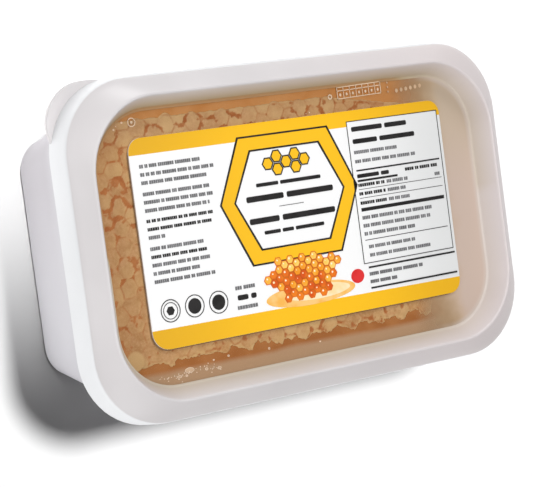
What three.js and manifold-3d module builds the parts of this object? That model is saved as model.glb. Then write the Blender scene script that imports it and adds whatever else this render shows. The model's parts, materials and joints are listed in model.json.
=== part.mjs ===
// Cut comb honey in a shut plastic tub. A tapered tub carries a snap-on lid with a raised
// rim, a sunken clear panel and a pull tab at one corner. A label lies on the panel. Inside
// are a piece of capped honeycomb and the honey that has run out round it.
// Millimetres, +Z up, standing on z = 0, long side along X, tab at the -X +Y corner.

import * as THREE from "three";
import { mergeVertices } from "three/addons/utils/BufferGeometryUtils.js";
import Module from "manifold-3d";

// Lid outline, taken at the crease between rim and skirt
const LENGTH = 146;
const WIDTH = 92;
const LID_CORNER = 20;
const ARC_STEPS = 9;

// Heights of the lid
const CREST_Z = 41;
const CREASE_Z = 36.4;
const SKIRT_FOOT_Z = 28.5;
const PANEL_Z = 35.1;

// Lid section, as distances inwards from the outline
const SHEET = 1.0;
const PANEL_SHEET = 0.9;
const SKIRT_FLARE = 0.6;
const CREST_INSET = 5.3;
const CREST_CORNER = 20.8;
const PANEL_INSET = 8.9;
const PANEL_CORNER = 16.6;
const PANEL_FILLET = 0.5;
const CREST_ROUND = 0.7;
const CREASE_ROUND = 0.8;
const RIM_BULGE = 0.25;
const RIM_SHARES = [0.75, 0.45, 0.12];

// Pull tab at one corner of the skirt foot, with a root that runs in under the skirt
const TAB_REACH = SKIRT_FLARE;
const TAB_CORNER = 12;
const TAB_SHEET = 1.2;
const TAB_LONG_LEG = 15.6;
const TAB_SHORT_LEG = 12.7;
const TAB_ROOT = 4;
const TAB_ROOT_DEPTH = 0.6;

// Tub
const WALL = 1.0;
const TUB_TOP_Z = 36.0;
const TUB_TOP_INSET = 2.6;
const TUB_TOP_CORNER = 17.4;
const LIP_EASE = 0.3;
const BEAD_REACH = 1.0;
const BEAD_TOP_Z = 34.8;
const BEAD_FOOT_Z = 32.8;
const BEAD_EASE = 0.5;
const BASE_INSET_X = 4.5;
const BASE_INSET_Y = 13;
const BASE_CORNER = 9;
const BASE_ROUND = 3;
const FOOT_RING = 3;
const BASE_LIFT = 1.6;
const FLOOR_Z = 2.8;
const FLOOR_ROUND = 2.2;

// Play between pieces that touch
const GAP = 0.3;

// Label on the panel
const LABEL_LENGTH = 106.5;
const LABEL_WIDTH = 56.7;
const LABEL_CORNER = 4;
const LABEL_SHEET = 0.3;
const LABEL_X = -0.5;
const LABEL_Y = 1.35;

// Honeycomb: one hexagonal cell measures CELL across its flats
const CELL = 5.0;
const COMB_LEFT = -65;
const COMB_RIGHT = 48;
const COMB_BACK = 37;
const COMB_FRONT = -32.4;
const COMB_CORNER = 10;
const COMB_TOP_Z = PANEL_Z - PANEL_SHEET - GAP;
const COMB_BOTTOM_Z = FLOOR_Z + 2.4;
const COMB_TAPER = 0.88;
const CAP_SHARE = 0.74;
const CAP_SPREAD = 0.16;
const CAP_RISE = 0.8;
const CAP_DOME = 0.25;
const CAP_UNEVEN = 0.5;
const CORNER_WANDER = 0.32;
const EDGE_WANDER = 1.1;
const COMB_PLAY = 0.54;

// Honey: deep round the comb, a shallow pool at the empty end
const HONEY_TOP_Z = COMB_TOP_Z - 0.5;
const HONEY_PAST_COMB = 2.5;
const HONEY_SLOPE = 9;
const HONEY_FALL = 0.6;
const POOL_Z = FLOOR_Z + 3;
const SLOPE_STEPS = 8;

const HALF_X = LENGTH / 2;
const HALF_Y = WIDTH / 2;

// How far a cutting solid runs past what it cuts
const PAST = 1;

// Repeatable random numbers from 0 to 1
function makeRandom(seed) {
  let state = seed;
  return () => {
    state = (state * 1664525 + 1013904223) % 4294967296;
    return state / 4294967296;
  };
}

// One rounded rectangle at a height, counterclockwise seen from above
function ring(halfX, halfY, radius, z) {
  const points = [];
  const centres = [[1, 1], [-1, 1], [-1, -1], [1, -1]];
  centres.forEach(([sx, sy], corner) => {
    for (let i = 0; i <= ARC_STEPS; i += 1) {
      const angle = (corner + i / ARC_STEPS) * Math.PI / 2;
      points.push([
        sx * (halfX - radius) + radius * Math.cos(angle),
        sy * (halfY - radius) + radius * Math.sin(angle),
        z,
      ]);
    }
  });
  return points;
}

function inset(distance, radius, z) {
  return ring(HALF_X - distance, HALF_Y - distance, radius, z);
}

function geometryFrom(points, triangles) {
  const geometry = new THREE.BufferGeometry();
  geometry.setAttribute("position", new THREE.Float32BufferAttribute(points.flat(), 3));
  geometry.setIndex(triangles.flat());
  geometry.computeVertexNormals();
  return geometry;
}

// A closed body through a row of rings with a flat cap at each end. The rings run from the
// upper cap outwards and round to the lower cap, so the faces point out.
function bodyThroughRings(rings) {
  const count = rings[0].length;
  const points = rings.flat();
  const triangles = [];
  for (let r = 0; r + 1 < rings.length; r += 1) {
    for (let i = 0; i < count; i += 1) {
      const j = (i + 1) % count;
      const [a, b] = [r * count + i, r * count + j];
      const [c, d] = [a + count, b + count];
      triangles.push([a, c, b], [b, c, d]);
    }
  }
  const first = points.length;
  points.push([0, 0, rings[0][0][2]]);
  const last = points.length;
  points.push([0, 0, rings.at(-1)[0][2]]);
  const start = (rings.length - 1) * count;
  for (let i = 0; i < count; i += 1) {
    const j = (i + 1) % count;
    triangles.push([first, i, j], [last, start + j, start + i]);
  }
  return geometryFrom(points, triangles);
}

function mix(a, b, share) {
  return a + (b - a) * share;
}

// The corner radius widens from the crease to the crest and tightens again to the panel
function lidCorner(distance) {
  if (distance <= CREST_INSET) {
    return mix(LID_CORNER, CREST_CORNER, Math.max(0, distance) / CREST_INSET);
  }
  const share = (distance - CREST_INSET) / (PANEL_INSET - CREST_INSET);
  return mix(CREST_CORNER, PANEL_CORNER, Math.min(1, share));
}

function lidRing(distance, z) {
  return inset(distance, lidCorner(distance), z);
}

// Height of the rim's outer slope, gently bulged between crease and crest
function rimSlopeZ(distance) {
  const share = distance / CREST_INSET;
  return CREASE_Z + (CREST_Z - CREASE_Z) * share * (1 + RIM_BULGE * (1 - share));
}

function lidShell() {
  const underPanel = PANEL_Z - PANEL_SHEET;
  const top = [
    lidRing(PANEL_INSET + PANEL_FILLET, PANEL_Z),
    lidRing(PANEL_INSET, PANEL_Z + PANEL_FILLET * 0.2),
    lidRing(PANEL_INSET - PANEL_FILLET * 0.8, PANEL_Z + PANEL_FILLET),
    lidRing(CREST_INSET + CREST_ROUND, CREST_Z - CREST_ROUND),
    lidRing(CREST_INSET + CREST_ROUND * 0.5, CREST_Z - CREST_ROUND * 0.2),
    lidRing(CREST_INSET, CREST_Z),
    ...RIM_SHARES.map((share) => lidRing(CREST_INSET * share, rimSlopeZ(CREST_INSET * share))),
    lidRing(CREASE_ROUND * 0.12, CREASE_Z - CREASE_ROUND * 0.25),
    lidRing(0, CREASE_Z - CREASE_ROUND),
  ];
  const skirt = [
    inset(-SKIRT_FLARE, LID_CORNER + SKIRT_FLARE, SKIRT_FOOT_Z),
    inset(SHEET - SKIRT_FLARE, LID_CORNER + SKIRT_FLARE - SHEET, SKIRT_FOOT_Z),
  ];
  const midRim = CREST_INSET * 0.55;
  const under = [
    lidRing(SHEET * 1.1, CREASE_Z - SHEET),
    lidRing(midRim, rimSlopeZ(midRim) - SHEET * 1.5),
    lidRing(CREST_INSET - SHEET * 0.5, CREST_Z - SHEET * 2.2),
    lidRing(PANEL_INSET - SHEET * 1.5, underPanel + SHEET * 0.6),
    lidRing(PANEL_INSET - SHEET * 0.7, underPanel),
  ];
  return bodyThroughRings([...top, ...skirt, ...under]);
}

// A corner plate that squares off the round of the skirt foot
function tabPlate() {
  const [outX, outY] = [HALF_X + TAB_REACH, HALF_Y + TAB_REACH];
  const depth = TAB_REACH + TAB_ROOT_DEPTH;
  const shape = new THREE.Shape();
  shape.moveTo(-outX, outY - TAB_SHORT_LEG);
  shape.lineTo(-outX + depth, outY - TAB_SHORT_LEG - TAB_ROOT);
  shape.lineTo(-outX + TAB_LONG_LEG + TAB_ROOT, outY - depth);
  shape.lineTo(-outX + TAB_LONG_LEG, outY);
  shape.lineTo(-outX + TAB_CORNER, outY);
  shape.absarc(-outX + TAB_CORNER, outY - TAB_CORNER, TAB_CORNER, Math.PI / 2, Math.PI, false);
  shape.closePath();
  const plate = new THREE.ExtrudeGeometry(shape, {
    depth: TAB_SHEET,
    bevelEnabled: false,
    curveSegments: ARC_STEPS,
  });
  plate.translate(0, 0, SKIRT_FOOT_Z);
  return plate;
}

// The inside of the skirt as a solid, to keep the tab outside the tub's rim
function insideSkirt() {
  const radius = LID_CORNER - SHEET / 2;
  return bodyThroughRings([
    inset(SHEET / 2, radius, CREASE_Z),
    inset(SHEET / 2, radius, SKIRT_FOOT_Z - SHEET),
  ]);
}

// The tub's outline a share of the way from base to top, moved inwards by a distance
function tubOutline(share, distance, z) {
  return ring(
    HALF_X - mix(BASE_INSET_X, TUB_TOP_INSET, share) - distance,
    HALF_Y - mix(BASE_INSET_Y, TUB_TOP_INSET, share) - distance,
    mix(BASE_CORNER, TUB_TOP_CORNER, share) - distance,
    z,
  );
}

function wallRing(z, distance) {
  const share = Math.max(0, (z - BASE_ROUND) / (TUB_TOP_Z - BASE_ROUND));
  return tubOutline(share, distance, z);
}

// From the wall down to a level floor, round the inside edge
function floorRound(floorZ, distance) {
  return [
    wallRing(floorZ + FLOOR_ROUND, distance),
    tubOutline(0, distance + FLOOR_ROUND * 0.45, floorZ + FLOOR_ROUND * 0.23),
    tubOutline(0, distance + FLOOR_ROUND * 1.1, floorZ),
  ];
}

function tub() {
  const inner = [
    ...floorRound(FLOOR_Z, WALL).reverse(),
    wallRing(mix(FLOOR_Z, TUB_TOP_Z, 0.5), WALL),
    wallRing(TUB_TOP_Z - LIP_EASE, WALL),
  ];
  const rim = [
    wallRing(TUB_TOP_Z, WALL - LIP_EASE),
    wallRing(TUB_TOP_Z, LIP_EASE),
    wallRing(TUB_TOP_Z - LIP_EASE, 0),
    wallRing(BEAD_TOP_Z, 0),
    wallRing(BEAD_TOP_Z - BEAD_EASE, -BEAD_REACH),
    wallRing(BEAD_FOOT_Z + BEAD_EASE, -BEAD_REACH),
    wallRing(BEAD_FOOT_Z, 0),
  ];
  const outer = [
    wallRing(mix(BASE_ROUND, TUB_TOP_Z, 0.5), 0),
    tubOutline(0, 0, BASE_ROUND),
    tubOutline(0, BASE_ROUND * 0.12, BASE_ROUND * 0.5),
    tubOutline(0, BASE_ROUND * 0.5, BASE_ROUND * 0.13),
    tubOutline(0, BASE_ROUND, 0),
    tubOutline(0, BASE_ROUND + FOOT_RING, 0),
    tubOutline(0, BASE_ROUND + FOOT_RING + BASE_LIFT, BASE_LIFT),
  ];
  return bodyThroughRings([...inner, ...rim, ...outer]);
}

function label() {
  const foot = PANEL_Z + GAP;
  const [halfX, halfY] = [LABEL_LENGTH / 2, LABEL_WIDTH / 2];
  const plate = bodyThroughRings([
    ring(halfX, halfY, LABEL_CORNER, foot + LABEL_SHEET),
    ring(halfX, halfY, LABEL_CORNER, foot),
  ]);
  plate.translate(LABEL_X, LABEL_Y, 0);
  return plate;
}

// Whether a cell centre lies inside the comb's outline, which wanders a little
function insideComb(x, y, wander) {
  const midX = (COMB_LEFT + COMB_RIGHT) / 2;
  const midY = (COMB_BACK + COMB_FRONT) / 2;
  const reachX = (COMB_RIGHT - COMB_LEFT) / 2 - CELL / 2;
  const reachY = (COMB_BACK - COMB_FRONT) / 2 - CELL / 2;
  const pastX = Math.abs(x - midX) - (reachX - COMB_CORNER);
  const pastY = Math.abs(y - midY) - (reachY - COMB_CORNER);
  const past = Math.hypot(Math.max(0, pastX), Math.max(0, pastY));
  return past <= COMB_CORNER + wander;
}

// Centres of the cells: columns along Y, every other column half a cell higher
function combCells(random) {
  const column = CELL * Math.sqrt(3) / 2;
  const cells = [];
  const columns = Math.ceil((COMB_RIGHT - COMB_LEFT) / column);
  const rows = Math.ceil((COMB_BACK - COMB_FRONT) / CELL) + 1;
  for (let i = 0; i <= columns; i += 1) {
    for (let j = 0; j <= rows; j += 1) {
      const x = COMB_LEFT + CELL / 2 + i * column;
      const y = COMB_FRONT + (j + (i % 2) / 2) * CELL;
      if (insideComb(x, y, (random() - 0.5) * EDGE_WANDER)) {
        cells.push({ x, y });
      }
    }
  }
  return cells;
}

// Corners shared by neighbouring cells, each moved a little off the regular grid
function combCorners(cells, random) {
  const reach = CELL / Math.sqrt(3);
  const found = new Map();
  cells.forEach((cell) => {
    cell.corners = [];
    for (let k = 0; k < 6; k += 1) {
      const x = cell.x + reach * Math.cos(k * Math.PI / 3);
      const y = cell.y + reach * Math.sin(k * Math.PI / 3);
      const key = `${Math.round(x * 10)},${Math.round(y * 10)}`;
      if (!found.has(key)) {
        found.set(key, {
          index: found.size,
          x: x + (random() - 0.5) * 2 * CORNER_WANDER,
          y: y + (random() - 0.5) * 2 * CORNER_WANDER,
        });
      }
      cell.corners.push(found.get(key));
    }
  });
  return [...found.values()];
}

// Edges that belong to one cell only, as pairs of corners, counterclockwise
function combBorder(cells) {
  const edges = new Map();
  cells.forEach((cell) => {
    cell.corners.forEach((corner, k) => {
      const next = cell.corners[(k + 1) % 6];
      edges.set(`${corner.index}-${next.index}`, [corner, next]);
    });
  });
  return [...edges.values()].filter(([a, b]) => !edges.has(`${b.index}-${a.index}`));
}

function tapered(corner) {
  const midX = (COMB_LEFT + COMB_RIGHT) / 2;
  return [midX + (corner.x - midX) * COMB_TAPER, corner.y * COMB_TAPER];
}

// Capped cells stand above the seams between them. The sides follow the cut cells.
function comb(cells, corners, random) {
  const seamZ = COMB_TOP_Z - CAP_RISE;
  const points = corners.map((corner) => [corner.x, corner.y, seamZ]);
  const below = points.length;
  corners.forEach((corner) => points.push([...tapered(corner), COMB_BOTTOM_Z]));
  const triangles = [];
  cells.forEach((cell) => {
    const outer = cell.corners.map((corner) => corner.index);
    const lift = COMB_TOP_Z - CAP_DOME - random() * CAP_UNEVEN;
    const share = CAP_SHARE * (1 + CAP_SPREAD * (random() - 0.5));
    const middle = points.length;
    points.push([cell.x, cell.y, lift + CAP_DOME]);
    cell.corners.forEach((corner) => {
      points.push([mix(cell.x, corner.x, share), mix(cell.y, corner.y, share), lift]);
    });
    const under = points.length;
    points.push([...tapered(cell), COMB_BOTTOM_Z]);
    for (let k = 0; k < 6; k += 1) {
      const next = (k + 1) % 6;
      const [a, b] = [middle + 1 + k, middle + 1 + next];
      triangles.push([middle, a, b], [a, outer[k], b], [b, outer[k], outer[next]]);
      triangles.push([under, below + outer[next], below + outer[k]]);
    }
  });
  combBorder(cells).forEach(([a, b]) => {
    triangles.push([a.index, below + a.index, b.index]);
    triangles.push([b.index, below + a.index, below + b.index]);
  });
  return geometryFrom(points, triangles);
}

// The comb's outline as one closed loop, moved outwards by a distance
function combOutline(cells, distance) {
  const border = combBorder(cells);
  const next = new Map(border.map(([a, b]) => [a.index, b]));
  const [start] = border[0];
  const loop = [];
  let corner = start;
  do {
    loop.push(corner);
    corner = next.get(corner.index);
  } while (corner.index !== start.index);
  return loop.map((point, i) => {
    const before = loop.at(i - 1);
    const after = loop[(i + 1) % loop.length];
    const along = new THREE.Vector2(after.x - before.x, after.y - before.y).normalize();
    return { x: point.x + along.y * distance, y: point.y - along.x * distance };
  });
}

// A solid slightly larger than the comb, which hollows out the honey
function combRoom(cells) {
  const outline = combOutline(cells, COMB_PLAY);
  const steps = outline.length;
  const points = [];
  outline.forEach((corner) => points.push([corner.x, corner.y, COMB_TOP_Z + PAST]));
  outline.forEach((corner) => points.push([...tapered(corner), COMB_BOTTOM_Z - GAP]));
  const contour = outline.map((corner) => new THREE.Vector2(corner.x, corner.y));
  const triangles = [];
  THREE.ShapeUtils.triangulateShape(contour, []).forEach(([a, b, c]) => {
    triangles.push([a, b, c], [steps + a, steps + c, steps + b]);
  });
  for (let i = 0; i < steps; i += 1) {
    const j = (i + 1) % steps;
    triangles.push([i, steps + i, j], [j, steps + i, steps + j]);
  }
  return geometryFrom(points, triangles);
}

// The tub's inside, GAP clear of its wall and floor
function tubRoom() {
  return bodyThroughRings([
    wallRing(HONEY_TOP_Z + PAST, WALL + GAP),
    ...floorRound(FLOOR_Z + GAP, WALL + GAP),
  ]);
}

// Everything below the honey's surface: level round the comb, then a slope down to the pool
function belowSurface() {
  const slopeStart = COMB_RIGHT + HONEY_PAST_COMB;
  const shape = new THREE.Shape();
  shape.moveTo(-HALF_X, 0);
  shape.lineTo(HALF_X, 0);
  shape.lineTo(HALF_X, POOL_Z);
  for (let i = SLOPE_STEPS; i >= 0; i -= 1) {
    const share = i / SLOPE_STEPS;
    const fall = (1 - Math.cos(share * Math.PI / 2)) ** HONEY_FALL;
    shape.lineTo(slopeStart + share * HONEY_SLOPE, mix(HONEY_TOP_Z, POOL_Z, fall));
  }
  shape.lineTo(-HALF_X, HONEY_TOP_Z);
  shape.closePath();
  const block = new THREE.ExtrudeGeometry(shape, { depth: WIDTH, bevelEnabled: false });
  block.rotateX(Math.PI / 2);
  block.translate(0, WIDTH / 2, 0);
  return block;
}

// Solids for cutting and joining
const wasm = await Module();
wasm.setup();

function toSolid(geometry) {
  const bare = geometry.clone();
  bare.deleteAttribute("normal");
  bare.deleteAttribute("uv");
  const merged = mergeVertices(bare, 1e-4);
  const vertProperties = new Float32Array(merged.attributes.position.array);
  const triVerts = new Uint32Array(merged.index.array);
  return new wasm.Manifold(new wasm.Mesh({ numProp: 3, vertProperties, triVerts }));
}

function toGeometry(solid) {
  const { vertProperties, triVerts } = solid.getMesh();
  const geometry = new THREE.BufferGeometry();
  geometry.setAttribute("position", new THREE.Float32BufferAttribute(vertProperties, 3));
  geometry.setIndex(new THREE.BufferAttribute(triVerts, 1));
  geometry.computeVertexNormals();
  return geometry;
}

function lid() {
  const tab = toSolid(tabPlate()).subtract(toSolid(insideSkirt()));
  return toGeometry(toSolid(lidShell()).add(tab));
}

function honey(cells) {
  const pool = toSolid(tubRoom()).intersect(toSolid(belowSurface()));
  return toGeometry(pool.subtract(toSolid(combRoom(cells))));
}

function mesh(name, geometry, color, roughness, extra = {}) {
  const material = new THREE.MeshStandardMaterial({ color, roughness, metalness: 0, ...extra });
  const part = new THREE.Mesh(geometry, material);
  part.name = name;
  return part;
}

const random = makeRandom(7);
const cells = combCells(random);
const corners = combCorners(cells, random);

const tubOfComb = new THREE.Group();
tubOfComb.add(
  mesh("tub", tub(), 0xdcd9dc, 0.4),
  mesh("lid", lid(), 0xe4e0e0, 0.35, { transparent: true, opacity: 0.6 }),
  mesh("label", label(), 0xf4f4f2, 0.45),
  mesh("comb", comb(cells, corners, random), 0xb68d5f, 0.5),
  mesh("honey", honey(cells), 0x9c5a2a, 0.1, { transparent: true, opacity: 0.85 }),
);

export default tubOfComb;
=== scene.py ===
import json
import math

import bpy
import numpy as np
from mathutils import Matrix, Vector

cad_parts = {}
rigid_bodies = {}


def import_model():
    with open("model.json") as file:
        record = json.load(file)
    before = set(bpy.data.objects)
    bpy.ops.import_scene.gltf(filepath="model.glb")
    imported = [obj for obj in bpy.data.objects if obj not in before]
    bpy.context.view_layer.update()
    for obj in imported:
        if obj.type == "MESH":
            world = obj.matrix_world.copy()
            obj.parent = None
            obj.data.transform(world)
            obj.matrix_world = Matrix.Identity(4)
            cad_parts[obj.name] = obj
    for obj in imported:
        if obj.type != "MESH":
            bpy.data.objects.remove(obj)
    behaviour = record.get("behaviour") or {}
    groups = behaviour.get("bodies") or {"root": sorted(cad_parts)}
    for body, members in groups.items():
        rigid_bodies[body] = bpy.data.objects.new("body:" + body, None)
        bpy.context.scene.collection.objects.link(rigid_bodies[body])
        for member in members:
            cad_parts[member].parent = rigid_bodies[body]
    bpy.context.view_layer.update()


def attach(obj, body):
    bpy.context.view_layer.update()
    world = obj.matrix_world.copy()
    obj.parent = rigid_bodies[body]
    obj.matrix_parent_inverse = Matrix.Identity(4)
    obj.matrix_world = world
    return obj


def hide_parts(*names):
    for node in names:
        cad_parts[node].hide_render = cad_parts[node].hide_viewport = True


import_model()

MM = 0.001
rng = np.random.default_rng(11)

# Lid
HALF_X = 73.0
HALF_Y = 46.0
LID_CORNER = 20.0
CREST_Z = 41.0
CREASE_Z = 36.4
CREST_INSET = 5.3
CREST_CORNER = 20.8
PANEL_INSET = 8.9
PANEL_CORNER = 16.6
PANEL_Z = 35.1
PANEL_FOOT = 34.2
PANEL_LIP = 1.8
RIM_BULGE = 0.25
SKIRT_FOOT_Z = 28.5
SKIRT_FLARE = 0.6
SKIRT_SHEET = 1.0

# Milky margin of the panel, and where along X the lid loses the honey's tint with its painted glow and
# shade, and gains the margin
MILKY_EDGE = 9.05
MILKY_FADE = 1.6
TINT_FROM = 36.0
TINT_TO = 58.0
MILKY_FROM = 40.0
MILKY_TO = 54.0

# Pull tab
TAB_CORNER = 12.0
TAB_LONG_LEG = 15.6
TAB_SHORT_LEG = 12.7
TAB_ROOT = 4.0
TAB_SHEET = 1.2

# Tub
TUB_TOP_Z = 36.0
TUB_TOP_INSET = 2.6
TUB_TOP_CORNER = 17.4
TUB_MID_Z = 19.4
RIM_ROUND = 0.3
BEAD_HIGH_Z = 34.3
BEAD_LOW_Z = 33.2
BEAD_OUT = 1.0
BASE_INSET_X = 4.5
BASE_INSET_Y = 13.0
BASE_CORNER = 9.0
BASE_ROUND = 3.0
FOOT_RING = 3.0
BASE_LIFT = 1.6
WALL = 1.0
FLOOR_Z = 2.8

# Label
LABEL_LEFT = -53.75
LABEL_RIGHT = 52.75
LABEL_LOW = -27.0
LABEL_HIGH = 29.7
LABEL_CORNER = 4.0
LABEL_FOOT = 35.14
LABEL_TOP = 35.5
PRINT_SHEET = 0.03
BAND_HIGH_FOOT = 25.2
BAND_LOW_TOP = -21.5
BAND_SLOPE = 0.0105
CENTRE_X = -3.8
CENTRE_Y = 8.6
MOTIF_Y = 18.1
FRAME_BAND = 3.4
FRAME_LINE = 0.5
TEXT_LEFT = -51.0
LINE_STEP = 2.2

# Steps between the cells drawn on the label, as shares of a cell's reach
HEX_STEP = 1.56
HEX_RISE = 0.9

# Comb
CELL = 5.15
CAP_REACH = 2.75
COMB_LEFT = -65.3
COMB_RIGHT = 48.5
COMB_BACK = 35.4
COMB_FRONT = -31.9
COMB_CORNER = 10.0
COMB_BOTTOM_Z = 5.2
COMB_TAPER = 0.88
COMB_TOP_Z = 34.85
COMB_GRID = 0.28
COMB_SINK = 0.08
BACK_SLOPE_FROM = 12.0
BACK_SLOPE = 0.16
RAGGED_Y = COMB_FRONT + 9.0
EDGE_FALL = 2.4
UNDER_LABEL = 3.0
CORNER_CAP = (-59.6, -28.6)
CORNER_FILL_AT = (-61.2, -26.6)
CORNER_FILL = 5.2

# Comb seams and cappings in millimetres
SEAM_LINE = 0.30
SEAM_CORE = 0.10
CRACK_WIDTH = 0.8
CAP_GAP = 2.55
BLOT_SIZE = 2.6
CAP_RISE = 0.10
WET_DIP = 0.05
SWELL = 0.06

# Noise over which a blot shows, and chances that open a seam, drown a cell or tear it away
BLOT_LEVEL = 0.70
OPEN_OVER = 0.70
DROWNED_OVER = 0.968
TORN_UNDER = 0.2

# Honey
HONEY_Z = 34.68
HONEY_END = 51.0
HONEY_SLOPE = 9.0
HONEY_CORNER = 16.0
POOL_Z = 5.8
WALL_BITE = 0.3
SMALL_BUBBLE = 0.3

# Points round one corner, and along one long and one short side
ARC_STEPS = 14
SIDE_X = 20
SIDE_Y = 12

# Camera, fitted to the photograph
CAMERA_AT = (-325.17, 27.44, 491.36)
CAMERA_RIGHT = (0.81454, -0.13092, 0.56515)
CAMERA_UP = (0.13960, 0.98981, 0.02808)
CAMERA_LENS = 135.9


def linear(red, green, blue):
    """A screen colour of 0 to 255 as the shader's colour."""
    shares = [channel / 255 for channel in (red, green, blue)]
    return [s / 12.92 if s <= 0.04045 else ((s + 0.055) / 1.055) ** 2.4 for s in shares] + [1.0]


def progress(value, start, end):
    """How far a value or an array has come from start to end, from 0 to 1."""
    return np.clip((value - start) / (end - start), 0, 1)


# Meshes

def make_piece(name, points, faces, sharp):
    """A piece that rides on the one body, smooth up to an angle between its faces."""
    mesh = bpy.data.meshes.new(name)
    mesh.from_pydata([tuple(p) for p in np.asarray(points, float) * MM], [], faces)
    mesh.polygons.foreach_set("use_smooth", [True] * len(mesh.polygons))
    mesh.set_sharp_from_angle(angle=math.radians(sharp))
    piece = bpy.data.objects.new(name, mesh)
    bpy.context.scene.collection.objects.link(piece)
    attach(piece, "root")
    return piece


def make_plates(name, plates, low, high, material, sharp=30):
    """A piece of flat plates; each is an outline, or an (outer, inner) pair round a hole."""
    points, faces = joined([frame_plate(*plate, low, high) if isinstance(plate, tuple)
                            else prism(plate, low, high) for plate in plates])
    piece = make_piece(name, points, faces, sharp)
    piece.data.materials.append(material)
    return piece


def paint(piece, name, values):
    """A share at each point of a piece, for its material."""
    layer = piece.data.attributes.new(name, "FLOAT", "POINT")
    layer.data.foreach_set("value", np.asarray(values, np.float32))


def ring(half_x, half_y, radius, z):
    """A rounded rectangle at one height, counterclockwise from its right end."""
    arcs = []
    for turn, (side_x, side_y) in enumerate(((1, 1), (-1, 1), (-1, -1), (1, -1))):
        angles = (turn + np.arange(ARC_STEPS + 1) / ARC_STEPS) * math.pi / 2
        arcs.append(np.column_stack([side_x * (half_x - radius) + radius * np.cos(angles),
                                     side_y * (half_y - radius) + radius * np.sin(angles)]))
    parts = []
    for turn, line in enumerate(arcs):
        steps = SIDE_X if turn % 2 == 0 else SIDE_Y
        shares = np.arange(1, steps)[:, None] / steps
        parts += [line, line[-1] + (arcs[(turn + 1) % 4][0] - line[-1]) * shares]
    flat = np.vstack(parts)
    return np.column_stack([flat, np.full(len(flat), float(z))])


def loft(rings):
    """A closed body through rings that run from an upper cap outwards and round to a lower cap."""
    count = len(rings[0])
    faces = []
    for r in range(len(rings) - 1):
        for i in range(count):
            j = (i + 1) % count
            a, b = r * count + i, r * count + j
            faces.append((a, a + count, b + count, b))
    last = (len(rings) - 1) * count
    faces.append(tuple(range(count)))
    faces.append(tuple(range(last + count - 1, last - 1, -1)))
    return np.vstack(rings), faces


def rounded(corners, cut, steps=4):
    """A row of 2-D points with each inner corner replaced by a short curve."""
    corners = [np.array(c, float) for c in corners]
    out = [corners[0]]
    for before, here, after, reach in zip(corners, corners[1:], corners[2:], cut):
        start = here + (before - here) * min(0.5, reach / np.linalg.norm(before - here))
        end = here + (after - here) * min(0.5, reach / np.linalg.norm(after - here))
        for step in range(steps + 1):
            t = step / steps
            out.append(start * (1 - t) ** 2 + here * 2 * t * (1 - t) + end * t ** 2)
    out.append(corners[-1])
    return out


def prism(outline, low, high):
    """A closed plate with a flat top over a 2-D outline, counterclockwise."""
    count = len(outline)
    points = [(x, y, high) for x, y in outline] + [(x, y, low) for x, y in outline]
    faces = [tuple(range(count)), tuple(range(2 * count - 1, count - 1, -1))]
    faces += [(i, i + count, (i + 1) % count + count, (i + 1) % count) for i in range(count)]
    return points, faces


def frame_plate(outer, inner, low, high):
    """A closed plate between two outlines of equal length, with a hole in the middle."""
    count = len(outer)
    rings = [[(x, y, z) for x, y in line] for line, z in
             ((inner, high), (outer, high), (outer, low), (inner, low))]
    points = [p for line in rings for p in line]
    faces = []
    for r in range(4):
        for i in range(count):
            j = (i + 1) % count
            a, b = r * count + i, r * count + j
            c, d = ((r + 1) % 4) * count + i, ((r + 1) % 4) * count + j
            faces.append((a, c, d, b))
    return points, faces


def joined(shapes):
    """Shapes of points and faces as one."""
    points, faces = [], []
    for shape_points, shape_faces in shapes:
        start = len(points)
        points += list(shape_points)
        faces += [tuple(start + i for i in face) for face in shape_faces]
    return points, faces


def grid_quads(shape):
    """The point numbers of each cell of a grid, counterclockwise."""
    index = np.arange(shape[0] * shape[1]).reshape(shape)
    return np.stack([index[:-1, :-1], index[1:, :-1], index[1:, 1:], index[:-1, 1:]], -1).reshape(-1, 4)


def closed_below(top, tops, low):
    """A closed body of an upper face, its copy at the points of low, and walls between them."""
    count = len(top)
    edges = {pair for face in tops for pair in zip(face, face[1:] + face[:1])}
    walls = [(a, a + count, b + count, b) for a, b in sorted(edges) if (b, a) not in edges]
    bottoms = [tuple(i + count for i in face[::-1]) for face in tops]
    return np.vstack([top, low]), tops + bottoms + walls


# Outlines

def arc(x, y, radius, start, end, steps=12):
    """Points along part of a circle, its ends included."""
    angles = [start + (end - start) * step / steps for step in range(steps + 1)]
    return [(x + radius * math.cos(a), y + radius * math.sin(a)) for a in angles]


def ellipse(x, y, half_x, half_y, steps=20):
    turns = [2 * math.pi * i / steps for i in range(steps)]
    return [(x + half_x * math.cos(a), y + half_y * math.sin(a)) for a in turns]


def disc(x, y, radius, steps=28):
    return ellipse(x, y, radius, radius, steps)


def oval_ring(x, y, half_x, half_y, line):
    """An outer and an inner outline."""
    return ellipse(x, y, half_x, half_y), ellipse(x, y, half_x - line, half_y - line)


def hexagon(x, y, reach):
    return ellipse(x, y, reach, reach, 6)


def stretched_hexagon(mid_x, mid_y, half_x, half_y, point):
    """A hexagon with flat top and foot and a point at each end."""
    return [(mid_x - half_x + point, mid_y - half_y), (mid_x + half_x - point, mid_y - half_y),
            (mid_x + half_x, mid_y), (mid_x + half_x - point, mid_y + half_y),
            (mid_x - half_x + point, mid_y + half_y), (mid_x - half_x, mid_y)]


def rectangle(left, low, right, high):
    return [(left, low), (right, low), (right, high), (left, high)]


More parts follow.
